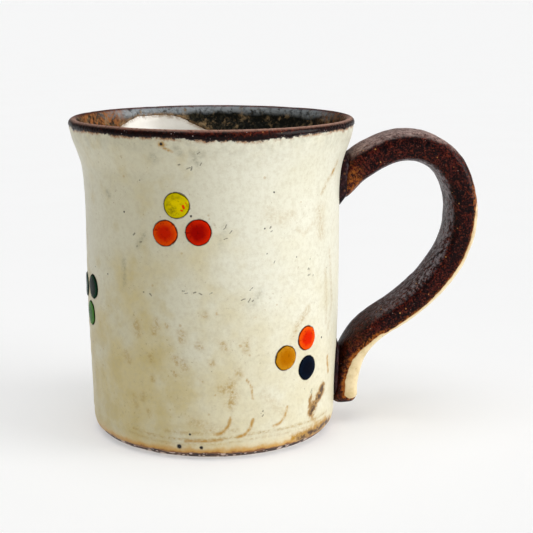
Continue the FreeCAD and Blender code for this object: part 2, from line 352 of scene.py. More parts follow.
def scattered(seed, count, middle, spread, half_width, run, strength=1.0):
    """Short marks at random round a place, in the form that painted() takes."""
    random = np.random.default_rng(seed)
    marks = []
    for _ in range(count):
        azimuth, height = np.array(middle) + random.uniform(-1, 1, 2) * spread
        start = (float(apart(azimuth, 0)), float(height))
        length, turn = random.uniform(0.3, 1.0), random.uniform(-0.5, 0.5)
        across = run[0] * math.cos(turn) - run[1] * math.sin(turn)
        up = run[0] * math.sin(turn) + run[1] * math.cos(turn)
        end = (start[0] + length * across, start[1] + length * up)
        marks.append(([start, end], half_width * random.uniform(0.7, 1.25), strength))
    return marks


def hook(azimuth, height):
    """A stroke that curls to the left as it goes down, as a finger or a tool leaves one."""
    steps = ((0, 0), (-1, -2.5), (-4, -4.5), (-7, -5))
    return [(azimuth + across, height + up) for across, up in steps]


def along_foot(start, end, below):
    """A line that keeps that far below the turned line above the foot."""
    return [(azimuth, float(foot_line(azimuth)) - below) for azimuth in range(start, end, 8)]


# Soft marks, each a line of (azimuth, height) points with a half width in mm and a strength.
TAN_MARKS = [
    ([(5, 23), (6, 19), (5, 17)], 1.5, 1.0),
    ([(22, 71), (28, 69), (33, 70)], 2.0, 0.3),
    ([(51, 70), (52, 63)], 2.2, 0.55),
    ([(36, 66), (40, 64), (47, 67)], 0.7, 0.35),
    ([(60, 58), (64, 42), (60, 33)], 0.8, 0.5),
    ([(56, 52), (58, 36)], 0.8, 0.45),
    ([(64, 83), (61, 80)], 0.9, 1.0),
    ([(61, 80), (56, 78), (52, 75)], 0.7, 0.85),
    ([(43, 42), (40, 40), (36, 37), (35, 35)], 1.1, 0.75),
    ([(-12, 12), (2, 9)], 1.6, 0.5),
    ([(20, 19), (31, 12)], 1.5, 0.35),
    (along_foot(-41, 67, -0.2), 0.45, 0.9),
    (along_foot(-44, 67, 1.3), 0.35, 0.6),
    (along_foot(-24, 13, -2.2), 0.6, 0.6),
]
TAN_MARKS += scattered(21, 9, (-26, 36), (18, 10), 1.0, (1.5, -2.5), 0.9)
TAN_MARKS += scattered(22, 6, (3, 28), (9, 10), 1.0, (1.0, -2.5), 0.85)
TAN_MARKS += scattered(23, 4, (-38, 17), (8, 5), 0.9, (0.5, -3.5), 0.7)
TAN_MARKS += scattered(27, 8, (-14, 34), (28, 12), 0.65, (0.6, -1.4), 1.0)
TAN_MARKS += scattered(24, 18, (185, 40), (100, 28), 1.2, (2.0, -4.0), 0.9)
RUST_MARKS = [
    (hook(32, 14), 0.6, 0.75),
    (hook(15, 12), 0.6, 0.85),
    (hook(5, 13), 0.6, 0.8),
    ([(12, 24), (14, 22), (15, 18)], 0.42, 0.75),
    ([(61, 25), (63, 20)], 0.8, 0.85),
    ([(62, 81), (61, 80)], 0.6, 0.8),
    ([(36, 4), (52, 4.5), (62, 5)], 1.4, 0.95),
    ([(48, 8), (53, 6)], 1.0, 0.6),
    ([(-21, 91), (-20.8, 91)], 1.05, 1.0),
    ([(-20, 90), (-17, 89)], 0.5, 0.8),
    (along_foot(-15, 2, 0.2), 0.6, 0.8),
]
RUST_MARKS += scattered(25, 4, (8, 32), (14, 12), 0.45, (0.3, -0.4), 0.7)
RUST_MARKS += scattered(26, 9, (185, 26), (90, 20), 0.6, (3.0, -4.0), 0.8)
DARK_MARKS = [
    ([(57, 16), (54, 14), (52, 13)], 1.7, 0.85),
    ([(50, 12), (48, 10)], 1.8, 0.8),
    ([(47, 15), (46, 12)], 0.9, 0.5),
    ([(40, 3.5), (68, 4)], 1.2, 0.8),
]
SOOT_MARKS = [
    ([(-52, 76), (-51, 75)], 0.8, 0.8),
    ([(-43, 57), (-43, 50)], 0.8, 0.7),
    ([(-35, 62), (-32, 65)], 0.9, 0.7),
    ([(14, 46), (18, 49)], 1.4, 0.45),
    ([(1, 63), (3, 68)], 1.2, 0.35),
]
SOOT_MARKS += scattered(31, 6, (-17, 88.5), (10, 1.8), 0.9, (2.0, -1.5), 0.75)
SOOT_MARKS += scattered(32, 9, (185, 60), (90, 28), 0.9, (2.5, -3.0), 0.8)
WALL_MARKS = {"tan": TAN_MARKS, "rust": RUST_MARKS, "dark": DARK_MARKS, "soot": SOOT_MARKS}

# Fine marks drawn by the material, in clusters: seed, how many, middle, spread, half width, longest run.
SCRATCH_CLUSTERS = [
    (1, 4, (3, 66), (4, 2), 0.17, (1.9, 1.1)),
    (2, 4, (12, 48), (5, 2), 0.17, (1.6, 1.2)),
    (3, 6, (-9, 49.5), (6, 0.5), 0.15, (1.5, 0.2)),
    (4, 3, (-32, 48.5), (3, 0.5), 0.19, (0.6, -0.3)),
    (5, 5, (-13, 86), (9, 4), 0.17, (1.2, 1.0)),
    (6, 7, (42, 55), (7, 4), 0.16, (0.6, 0.5)),
    (7, 4, (22, 62), (3, 5), 0.16, (0.6, 0.5)),
    (8, 3, (20, 13), (1, 1), 0.18, (0.2, 0.2)),
    (9, 2, (47, 17), (1, 0.5), 0.12, (-0.8, -1.7)),
    (10, 2, (-36, 64), (2, 2), 0.19, (0.9, 0.6)),
    (11, 5, (180, 50), (110, 36), 0.17, (0.9, 0.7)),
    (12, 3, (0, 50), (66, 34), 0.16, (0.6, 0.4)),
]
SCRATCHES = [mark for cluster in SCRATCH_CLUSTERS for mark in scattered(*cluster)]


def painted(across, height, marks, unit=PER_DEGREE):
    """0 to 1: how strongly these soft marks cover each place. Unit is what one step across is in mm."""
    places = np.stack([across * unit, height], -1)
    total = np.zeros(np.shape(across))
    for line, half_width, strength in marks:
        corners = np.array(line, float) * (unit, 1)
        for start, end in zip(corners[:-1], corners[1:], strict=True):
            run = end - start
            share = np.clip((places - start) @ run / max(run @ run, 1e-9), 0, 1)
            reach = np.linalg.norm(places - start - share[..., None] * run, axis=-1)
            total = np.maximum(total, strength * np.exp(-((reach / half_width) ** 2)))
    return total


# ---------------- material nodes


def paint(red, green, blue):
    """A colour given as it looks on screen, 0 to 255, in the linear values that shaders take."""
    linear = []
    for value in (red, green, blue):
        share = value / 255
        linear.append(((share + 0.055) / 1.055) ** 2.4 if value > 10 else share / 12.92)
    return (*linear, 1.0)


def add_node(tree, kind, inputs=(), **settings):
    """Adds a shader node and returns its outputs. Sockets are joined, plain values set, None left."""
    node = tree.nodes.new("ShaderNode" + kind)
    for key, value in settings.items():
        setattr(node, key, value)
    for key, value in dict(inputs).items():
        if isinstance(value, bpy.types.NodeSocket):
            tree.links.new(value, node.inputs[key])
        elif value is not None:
            node.inputs[key].default_value = value
    return node.outputs


class Look:
    """One node material, its colour laid on in layers. Sizes and distances are in millimetres."""

    def __init__(self, name):
        self.material = bpy.data.materials.new(name)
        self.material.use_nodes = True
        self.tree = self.material.node_tree
        self.tree.nodes.clear()
        self.place = self.vector("SCALE", self.add("TexCoord")["Object"], scale=1 / MM)
        self.x, self.y, self.z = self.split(self.place)

    def add(self, kind, inputs=(), **settings):
        return add_node(self.tree, kind, inputs, **settings)

    def split(self, value):
        parts = self.add("SeparateXYZ", {0: value})
        return parts["X"], parts["Y"], parts["Z"]

    def vector(self, operation, a, b=None, scale=None):
        outputs = self.add("VectorMath", {0: a, 1: b, "Scale": scale}, operation=operation)
        return outputs["Value" if operation in ("DOT_PRODUCT", "LENGTH", "DISTANCE") else "Vector"]

    def math(self, operation, a, b=0.0, clamp=False):
        return self.add("Math", {0: a, 1: b}, operation=operation, use_clamp=clamp)[0]

    def times(self, a, b):
        return self.math("MULTIPLY", a, b)

    def plus(self, a, b):
        return self.math("ADD", a, b)

    def minus(self, a, b):
        return self.math("SUBTRACT", a, b)

    def scaled(self, value, factor, offset=0.0):
        """The value times a factor, plus an offset."""
        return self.add("Math", {0: value, 1: factor, 2: offset}, operation="MULTIPLY_ADD")[0]

    def mix(self, amount, a, b):
        return self.add("Mix", {"Factor": amount, 6: a, 7: b}, data_type="RGBA")[2]

    def start(self, amount, tone, other):
        """Begins the colour with two screen tones."""
        self.colour = self.mix(amount, paint(*tone), paint(*other))

    def lay(self, amount, tone, share=1.0):
        """Lays a screen tone over the colour so far, by amount times share."""
        if share != 1.0:
            amount = self.scaled(amount, share)
        self.colour = self.mix(amount, self.colour, paint(*tone))

    def noise(self, size, detail=2.0, roughness=0.5, warp=0.0):
        shape = {"Scale": 1 / size, "Detail": detail, "Roughness": roughness, "Distortion": warp}
        return self.add("TexNoise", {"Vector": self.place, **shape})["Fac"]

    def step(self, value, low, high):
        """0 at low, 1 at high, smooth between. With low above high it falls."""
        ends = {"From Min": min(low, high), "From Max": max(low, high)}
        ends.update({"To Min": float(low > high), "To Max": float(low < high)})
        return self.add("MapRange", {"Value": value, **ends}, interpolation_type="SMOOTHSTEP")["Result"]

    def patches(self, grain, low, high):
        """Noise of that grain (size, detail, roughness, warp), cut to 0 at low and 1 at high."""
        return self.step(self.noise(*grain), low, high)

    def mask(self, name):
        return self.add("Attribute", attribute_name=name)["Fac"]

    def masked(self, name, grain, low, high):
        """A mask broken up by patches of noise."""
        return self.times(self.mask(name), self.patches(grain, low, high))

    def shift(self, amount, size, seed):
        """Positions pushed about at random by up to that many millimetres."""
        start = self.vector("ADD", self.place, (seed * 7.1, seed * 3.3, seed * 5.9))
        push = self.add("TexNoise", {"Vector": start, "Scale": 1 / size})["Color"]
        centred = self.vector("SUBTRACT", push, (0.5, 0.5, 0.5))
        return self.vector("ADD", self.place, self.vector("SCALE", centred, scale=2 * amount))

    def specks(self, spacing, radius, chance, seed):
        """Scattered dots: 1 inside a dot. Only that share of the cells holds one, and sizes vary."""
        place = self.vector("ADD", self.shift(0.12, 0.6, seed), (seed * 11.3, seed * 4.1, seed * 8.7))
        cells = self.add("TexVoronoi", {"Vector": place, "Scale": 1 / spacing})
        pick = self.add("SeparateColor", {0: cells["Color"]})
        chosen = self.math("LESS_THAN", pick[0], chance)
        size = self.scaled(pick[1], radius / spacing, 0.35 * radius / spacing)
        inside = self.minus(1.15, self.math("DIVIDE", cells["Distance"], size))
        return self.times(self.step(inside, 0.0, 0.45), chosen)

    def finish(self, roughness, height=None, depth=0.05, **fixed):
        """Ends in one Principled shader. Depth is the relief in mm where the height goes from 0 to 1."""
        inputs = {"Base Color": self.colour, "Roughness": roughness}
        inputs.update({key.replace("_", " "): value for key, value in fixed.items()})
        if height is not None:
            bump = {"Strength": 1.0, "Distance": depth * MM, "Height": height}
            inputs["Normal"] = self.add("Bump", bump)["Normal"]
        self.add("OutputMaterial", {"Surface": self.add("BsdfPrincipled", inputs)["BSDF"]})
        return self.material


def wall_place(look):
    """A place on the wall as (millimetres round it, millimetres up it, 0), a little uneven."""
    x, y, z = look.split(look.shift(0.16, 0.7, 2))
    turn = look.math("ARCTAN2", x, look.times(y, -1.0))
    return look.add("CombineXYZ", {"X": look.times(turn, WALL_RADIUS), "Y": z})[0]


def lines(look, where, marks):
    """1 on any of these fine marks, each from one point to another."""
    total = 0.0
    for (first, last), half_width, _ in marks:
        start = (first[0] * PER_DEGREE, first[1], 0)
        run = ((last[0] - first[0]) * PER_DEGREE, last[1] - first[1], 0)
        square = max(run[0] ** 2 + run[1] ** 2, 1e-9)
        reach = look.vector("SUBTRACT", where, start)
        share = look.math("DIVIDE", look.vector("DOT_PRODUCT", reach, run), square, clamp=True)
        off = look.vector("SUBTRACT", reach, look.vector("SCALE", run, scale=share))
        ink = look.step(look.vector("LENGTH", off), half_width * 1.35, half_width * 0.55)
        total = look.math("MAXIMUM", total, ink)
    return total


def distance_to(look, where, azimuth, height):
    """How far a place on the wall is from an azimuth and height, in mm."""
    return look.vector("DISTANCE", where, (azimuth * PER_DEGREE, height, 0))


def pinholes(look, where):
    """1 on any of the pinholes."""
    total = 0.0
    for azimuth, height, radius, _ in PITS:
        reach = distance_to(look, where, azimuth, height)
        total = look.math("MAXIMUM", total, look.step(reach, radius * 1.3, radius * 0.6))
    return total


def dot_place(node):
    """Azimuth and height of an enamel dot's middle."""
    low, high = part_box(node)
    middle = (low + high) / 2 / MM
    return math.degrees(math.atan2(middle.x, -middle.y)), float(middle.z)


DOTS = sorted(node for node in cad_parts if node.startswith("dot_"))


def burnt_rings(look, where):
    """1 on a thin broken ring in the cream glaze round each enamel dot."""
    nearest = 9.0
    for node in DOTS:
        reach = distance_to(look, where, *dot_place(node))
        nearest = look.math("MINIMUM", nearest, look.math("ABSOLUTE", look.scaled(reach, 1.0, -DOT_RADIUS)))
    return look.times(look.step(nearest, 0.24, 0.06), look.patches((2.2, 3), 0.34, 0.52))


def cream_look():
    """Cream glaze over stoneware: tan stains low down, dark and amber below the rim, golden at the foot,
    paler towards the key light on the right as partly painted light.
    """
    look = Look("cream_glaze_look")
    low = look.step(look.z, 66, 22)
    medium = look.noise(7, 4, 0.6)
    # Paler towards +X: partly a cleaner glaze, partly painted light on the side the key light falls on. The
    # stains lean the other way, partly painted shade.
    clean_and_lit_side = look.step(look.x, -24, 14)
    look.start(clean_and_lit_side, (213, 207, 178), (230, 228, 210))
    look.lay(look.patches((24, 3), 0.40, 0.66), (222, 218, 194), 0.5)
    wide = look.plus(look.noise(15, 3, 0.55), look.scaled(low, 0.24))
    stained_and_shaded_side = look.scaled(clean_and_lit_side, -0.72, 1.0)
    wide = look.times(look.scaled(look.step(wide, 0.50, 0.84), 0.8), stained_and_shaded_side)
    look.lay(wide, (208, 190, 130))
    stained = look.plus(medium, look.scaled(low, 0.16))
    stained = look.times(look.scaled(look.step(stained, 0.54, 0.80), 0.5), stained_and_shaded_side)
    look.lay(stained, (197, 177, 112))
    crumbs = look.patches((0.9, 5, 0.75), 0.40, 0.62)
    look.lay(look.times(look.mask("tan"), look.scaled(crumbs, 0.75, 0.15)), (172, 134, 46), 0.95)
    crumbed = look.times(look.patches((0.8, 4, 0.7), 0.60, 0.68), look.patches((8, 3), 0.46, 0.60))
    crumbed = look.times(crumbed, look.scaled(clean_and_lit_side, -0.45, 1.0))
    look.lay(crumbed, (150, 124, 72), 0.6)
    look.lay(look.patches((1.3, 4, 0.7), 0.38, 0.72), (186, 174, 142), 0.3)
    near_rim = look.step(look.mask("below_rim"), 8, 0.4)
    look.lay(look.times(near_rim, look.patches((3.0, 4, 0.65), 0.35, 0.72)), (168, 164, 142), 0.42)
    foot = look.plus(look.z, look.scaled(look.noise(3.0, 4, 0.6), 3.0))
    look.lay(look.step(foot, 7.8, 4.2), (214, 180, 108), 0.5)
    golden = look.times(look.step(foot, 5.9, 4.1), look.patches((5.0, 4, 0.6), 0.16, 0.46))
    look.lay(golden, (200, 148, 62), 0.9)
    look.lay(look.step(foot, 4.3, 3.4), (132, 80, 30), 0.95)
    rusted = look.scaled(look.patches((1.3, 4, 0.65), 0.3, 0.6), 0.5, 0.55)
    rust = look.times(look.mask("rust"), rusted)
    look.lay(look.step(rust, 0.08, 1.0), (178, 130, 22))
    patchy = look.patches((1.9, 4, 0.62), 0.34, 0.60)
    dark = look.times(look.mask("dark"), look.scaled(patchy, 0.75, 0.35))
    look.lay(look.step(dark, 0.04, 0.42), (168, 128, 66))
    look.lay(look.step(dark, 0.30, 0.85), (72, 44, 20))
    look.lay(look.times(look.mask("soot"), look.scaled(crumbs, 0.7, 0.3)), (138, 134, 108), 0.75)
    ragged = look.minus(look.mask("below_rim"), look.scaled(look.noise(1.0, 4, 0.7), 1.9))
    amber = look.times(look.step(ragged, 0.15, -0.75), look.patches((2.6, 3), 0.36, 0.56))
    look.lay(amber, (156, 96, 36), 0.85)
    look.lay(look.step(ragged, -0.55, -0.95), (34, 18, 14))
    where = wall_place(look)
    drawn = look.times(lines(look, where, SCRATCHES), look.patches((0.55, 3, 0.6), 0.26, 0.5))
    look.lay(drawn, (84, 76, 56), 0.72)
    spotted = pinholes(look, where)
    look.lay(spotted, (16, 9, 6))
    look.lay(burnt_rings(look, where), (62, 34, 16), 0.8)
    small = look.specks(3.4, 0.17, 0.30, 5)
    look.lay(small, (116, 96, 68), 0.5)
    look.lay(look.specks(3.8, 0.34, 0.25, 8), (180, 146, 84), 0.4)
    rough = look.scaled(medium, 0.22, 0.26)
    height = look.plus(look.noise(0.9, 3, 0.6), look.scaled(look.noise(5.0, 2), 1.5))
    height = look.minus(height, look.scaled(look.plus(spotted, small), 0.6))
    return look.finish(rough, height, 0.06, Specular_IOR_Level=0.35)


def dark_glaze(look, red):
    """Starts with iron glaze: near black, with red-brown breaks, dark grain and a few golden crystals."""
    look.start(look.patches((6, 4, 0.6, 0.8), 0.36, 0.64), (22, 5, 7), (66, 18, 14))
    look.lay(look.patches((1.5, 5, 0.75), 0.50, 0.68), (130, 50, 22), red)
    look.lay(look.patches((0.8, 3, 0.6), 0.52, 0.62), (104, 48, 36), 0.6)
    look.lay(look.patches((0.62, 2, 0.6), 0.46, 0.56), (6, 1, 3), 0.92)
    look.lay(look.specks(1.7, 0.30, 0.22, 6), (190, 132, 74), 0.7)
    look.lay(look.specks(1.1, 0.18, 0.25, 3), (158, 126, 116), 0.45)


def iron_finish(look, roughness, coat, coat_roughness):
    """Ends an iron glaze: a leathery relief, hardly shiny itself, under a thin clear coat."""
    cells = look.add("TexVoronoi", {"Vector": look.shift(0.3, 1.2, 4), "Scale": 1 / PORE_SIZE})
    pores = look.step(cells["Distance"], 0.05, 0.6)
    height = look.plus(look.scaled(pores, 0.45), look.scaled(look.noise(0.6, 3, 0.65), 0.6))
    shine = {"Specular_IOR_Level": 0.05, "Coat_Weight": coat, "Coat_Roughness": coat_roughness}
    return look.finish(roughness, height, 0.3, **shine)


def facing_up(look):
    """1 on faces that look up."""
    return look.step(look.split(look.add("NewGeometry")["Normal"])[2], 0.42, 1.0)


def handle_look():
    """The strap's iron glaze: a painted lilac-grey highlight on its upper side, a painted slate reflection
    on the faces towards the hole, amber where it runs thin.
    """
    look = Look("handle_iron_look")
    dark_glaze(look, 0.55)
    # Painted highlight: lilac-grey on the faces that look up, mostly high on the strap, where the overhead
    # light falls.
    high = look.scaled(look.step(look.z, 60, 80), 0.85, 0.15)
    up = look.times(facing_up(look), look.patches((1.0, 4, 0.7), 0.3, 0.62))
    up = look.times(up, high)
    look.lay(up, (184, 158, 150), 0.92)
    # Painted reflection: slate grey on the faces that look into the hole.
    look.lay(look.masked("hole_side_reflection", (1.3, 5, 0.75), 0.44, 0.60), (142, 134, 140), 0.9)
    thin = look.masked("thin", (1.2, 5, 0.75), 0.36, 0.62)
    look.lay(look.step(thin, 0.10, 0.85), (154, 86, 30))
    rough = look.scaled(look.noise(1.5, 3, 0.6), 0.3, 0.22)
    return iron_finish(look, rough, 0.07, 0.12)


def rim_look():
    """The rim's iron glaze: black where it pools, red-brown over the lip with a painted mauve highlight
    along its top on the near side and painted pale glints, slate and tan inside.
    """
    look = Look("rim_iron_look")
    dark_glaze(look, 0.9)
    crinkle = look.patches((0.6, 4, 0.7), 0.42, 0.60)
    look.lay(look.times(crinkle, look.patches((3.5, 3), 0.34, 0.60)), (116, 44, 22), 0.6)
    look.lay(look.masked("pool", (0.7, 3, 0.7), 0.26, 0.46), (6, 1, 2), 0.93)
    # Painted highlight: mauve along the top of the lip, faded out on the far side.
    look.lay(look.masked("lip", (0.8, 4, 0.7), 0.24, 0.52), (180, 140, 122), 0.9)
    # Painted glints: small pale specks for the sparkle of the crinkled gloss.
    look.lay(look.specks(0.8, 0.14, 0.3, 12), (190, 172, 168), 0.55)
    outside = look.colour
    look.start(look.patches((3.0, 5, 0.66), 0.50, 0.66), (20, 20, 15), (140, 116, 84))
    look.lay(look.patches((1.1, 3, 0.6), 0.52, 0.62), (62, 58, 44), 0.55)
    look.lay(look.masked("slate", (1.8, 5, 0.7), 0.28, 0.56), (146, 152, 156))
    look.lay(look.masked("rusty", (1.6, 5, 0.72), 0.38, 0.62), (158, 98, 52))
    look.lay(look.masked("thin", (1.2, 4, 0.7), 0.3, 0.6), (160, 126, 88), 0.75)
    look.colour = look.mix(look.mask("inside"), outside, look.colour)
    rough = look.scaled(look.noise(1.5, 3, 0.6), 0.3, 0.2)
    return iron_finish(look, rough, 0.1, 0.1)


def lining_look():
    """The cream glaze inside, with tan mottling and brown flecks, paler near the top and darker towards the
    floor.
    """
    look = Look("lining_glaze_look")
    look.start(look.patches((14, 3), 0.4, 0.66), (216, 210, 190), (228, 225, 212))
    look.lay(look.patches((4.2, 4, 0.6), 0.50, 0.70), (186, 164, 124), 0.6)
    look.lay(look.patches((1.3, 4, 0.7), 0.5, 0.72), (150, 128, 96), 0.35)
    look.lay(look.step(look.z, 82, 89), (236, 232, 224), 0.8)
    look.lay(look.step(look.z, 14, 7), (186, 174, 142), 0.5)
    look.lay(look.masked("pale_edge", (1.3, 4, 0.7), 0.3, 0.6), (150, 116, 78), 0.8)
    look.lay(look.specks(2.6, 0.24, 0.35, 9), (70, 54, 38), 0.6)
    height = look.plus(look.noise(1.2, 3), look.scaled(look.noise(4.0, 2), 1.5))
    return look.finish(0.2, height, 0.06)


def clay_look():
    """Bare grey-buff stoneware of the foot ring and underside, with pale grog and dark specks."""
    look = Look("stoneware_clay_look")
    look.start(look.patches((9, 4), 0.35, 0.7), (176, 152, 120), (150, 122, 92))
    look.lay(look.specks(1.1, 0.3, 0.35, 2), (214, 200, 176), 0.6)
    look.lay(look.specks(2.3, 0.3, 0.3, 4), (70, 50, 36), 0.8)
    height = look.plus(look.noise(0.5, 4, 0.7), look.noise(2.0, 2))
    return look.finish(0.82, height, 0.09)


def wash_look():
    """The iron wash round the foot: thin, dark, with pale clay showing through its chips."""
    look = Look("foot_iron_wash_look")
    look.start(look.patches((2.0, 4, 0.65), 0.38, 0.66), (46, 28, 24), (92, 58, 38))
    chips = look.math("MAXIMUM", look.specks(2.1, 0.85, 0.55, 7), look.specks(1.1, 0.42, 0.5, 9))
    look.lay(chips, (212, 190, 176), 0.85)
    height = look.minus(look.noise(0.8, 4, 0.6), look.times(chips, 0.8))
    return look.finish(0.6, height, 0.12)


# ---------------- the pieces


def make_body():
    """The thrown clay, closed, from the middle of its underside round to its floor."""
    stretches = [
        rows_between(0.9, FOOT_ARC + 8, 0.5),
        rows_between(FOOT_ARC + 10, LIP_ARC - 4, 2.5),
        rows_between(LIP_ARC - 3, LIP_ARC + 3, 0.5),
        rows_between(LIP_ARC + 5, END_ARC - 0.9, 2.5),
    ]
    arcs = np.concatenate(stretches)
    azimuth, arc = np.meshgrid(AZIMUTHS, arcs)
    points = on_clay(azimuth, arc, 0.0).reshape(-1, 3)
    faces = ring_faces(len(arcs), COLUMNS)
    for row, flip in ((0, True), (len(arcs) - 1, False)):
        middle = len(points)
        ring = points[row * COLUMNS : (row + 1) * COLUMNS]
        points = np.vstack([points, [[0, 0, ring[:, 2].mean()]]])
        for k in range(COLUMNS):
            a, b = row * COLUMNS + k, row * COLUMNS + (k + 1) % COLUMNS
            faces.append((middle, b, a) if flip else (middle, a, b))
    body = add_mesh("thrown_clay_body", points, faces)
    dress(body, "stoneware_clay", clay_look(), "thrown_body")


def make_cream():
    """The cream glaze on the outer wall: ragged at the foot, and tucked under the rim's glaze."""
    arcs = rows_between(section.outside(CREAM_FROM), section.outside(CREAM_TO))
    azimuth, _, height, base = grid(arcs)
    ragged = layered(base * DRAWN_OUT, 21, (0.35, 4), (0.25, 1.3))
    at_foot = smoothstep(1.6, 2.3, height + ragged)
    at_rim = smoothstep(93.9, 93.2, height)
    below = rim_edge(azimuth, base) - height
    lift = (GLAZE + 0.1) * at_foot * at_rim - 0.1 - 0.12 * smoothstep(-0.3, -0.8, below)
    masks = {"below_rim": below}
    for mask, marks in WALL_MARKS.items():
        masks[mask] = painted(azimuth, height, marks)
    coat("cream_glaze_coat", "outer_cream_glaze", "cream_glaze", cream_look(), arcs, lift, masks)


def make_rim():
    """The iron glaze over the lip, with ragged edges that roll a little proud of the cream."""
    arcs = rows_between(section.outside(RIM_FROM), section.inside(RIM_TO), 0.15)
    azimuth, arc, height, base = grid(arcs)
    out = arc < LIP_ARC
    within = height - np.where(out, rim_edge(azimuth, base), rim_edge_inside(azimuth, base))
    proud = RIM_ROLL * smoothstep(2.2, 0.6, within)
    lift = (GLAZE + proud + 0.35) * smoothstep(-0.25, 0.22, within) - 0.35
    along = arc - LIP_ARC
    # The lip mask places a painted highlight on the lip's top, only on the near side.
    on_lip = smoothstep(-1.3, -0.3, along) * smoothstep(1.8, 0.8, along)
    slate = smoothstep(91.4, 93.2, height + 0.9 * lumps(base, 4, 33))
    masks = {
        "thin": smoothstep(1.3, 0.1, within) * ~out,
        "pool": smoothstep(2.0, 0.9, within) * out,
        "lip": on_lip * away(azimuth, 180, 75, 105),
        "inside": smoothstep(0.3, 1.3, along),
        "slate": slate * away(azimuth, 172, 75, 48),
        "rusty": away(azimuth, 243, 26, 10) + 0.6 * away(azimuth, 100, 24, 8),
    }
    coat("rim_iron_glaze_band", "rim_iron_glaze", "rim_iron_glaze", rim_look(), arcs, lift, masks)


def make_lining():
    """The glaze inside the cup, down the wall and over the floor."""
    arcs = rows_between(section.inside(LINING_FROM), END_ARC - 0.2, 0.62)
    azimuth, _, height, base = grid(arcs)
    below = rim_edge_inside(azimuth, base) - height
    lift = GLAZE - 0.3 * smoothstep(-0.2, -0.8, below)
    masks = {"pale_edge": smoothstep(1.1, 0.1, below)}
    coat("lining_glaze_coat", "lining_glaze", "lining_glaze", lining_look(), arcs, lift, masks)


def make_wash():
    """The iron wash on the rounded edge of the foot."""
    arcs = rows_between(FOOT_ARC - 1.2, section.outside(WASH_TO), 0.2)
    _, arc, height, base = grid(arcs)
    ragged = layered(base, 31, (0.3, 3), (0.2, 1.1))
    under = smoothstep(FOOT_ARC + 0.6, FOOT_ARC + 1.6, arc + ragged)
    lift = 0.3 * under * smoothstep(2.9, 2.2, height) - 0.1
    coat("foot_iron_wash_ring", "foot_iron_wash", "foot_iron_wash", wash_look(), arcs, lift)


for make in (make_body, make_cream, make_rim, make_lining, make_wash):
    make()


# ---------------- handle and slip joints


def remeshed(name, nodes, voxel, rounds):
    """An even, closed, smoothed skin round these CAD nodes: points in mm, normals, faces and edges."""
    mesh = bmesh_of(*nodes)
    data = bpy.data.meshes.new(name + "_rough")
    mesh.to_mesh(data)
    mesh.free()
    rough = new_object(name + "_rough", data)
    modifier = rough.modifiers.new("skin", "REMESH")
    modifier.mode = "VOXEL"
    modifier.voxel_size = voxel * MM
    smooth = rough.modifiers.new("smooth", "SMOOTH")
    smooth.factor = 0.5
    smooth.iterations = rounds
    bpy.context.view_layer.update()
    skin = bpy.data.meshes.new_from_object(rough.evaluated_get(bpy.context.evaluated_depsgraph_get()))
    points, normals = np.zeros((2, len(skin.vertices) * 3))
    skin.vertices.foreach_get("co", points)
    skin.vertices.foreach_get("normal", normals)
    faces = [tuple(p.vertices) for p in skin.polygons]
    edges = np.array([tuple(e.vertices) for e in skin.edges])
    bpy.data.objects.remove(rough)
    return points.reshape(-1, 3) / MM, normals.reshape(-1, 3), faces, edges


def spread(values, edges, rounds):
    """The values, averaged with their neighbours' that many times."""
    from_end, to_end = np.concatenate([edges, edges[:, ::-1]]).T
    count = np.bincount(to_end, minlength=len(values))
    for _ in range(rounds):
        total = np.bincount(to_end, values[from_end], len(values))
        values = 0.5 * values + 0.5 * total / np.maximum(count, 1)
    return values


def near_node(points, node, reach):
    """1 where a point lies within that many mm of a CAD node's surface, else 0."""
    mesh = bmesh_of(node)
    tree = BVHTree.FromBMesh(mesh)
    found = [tree.find_nearest(Vector(p * MM), reach * MM)[0] is not None for p in points]
    mesh.free()
    return np.array(found, float)


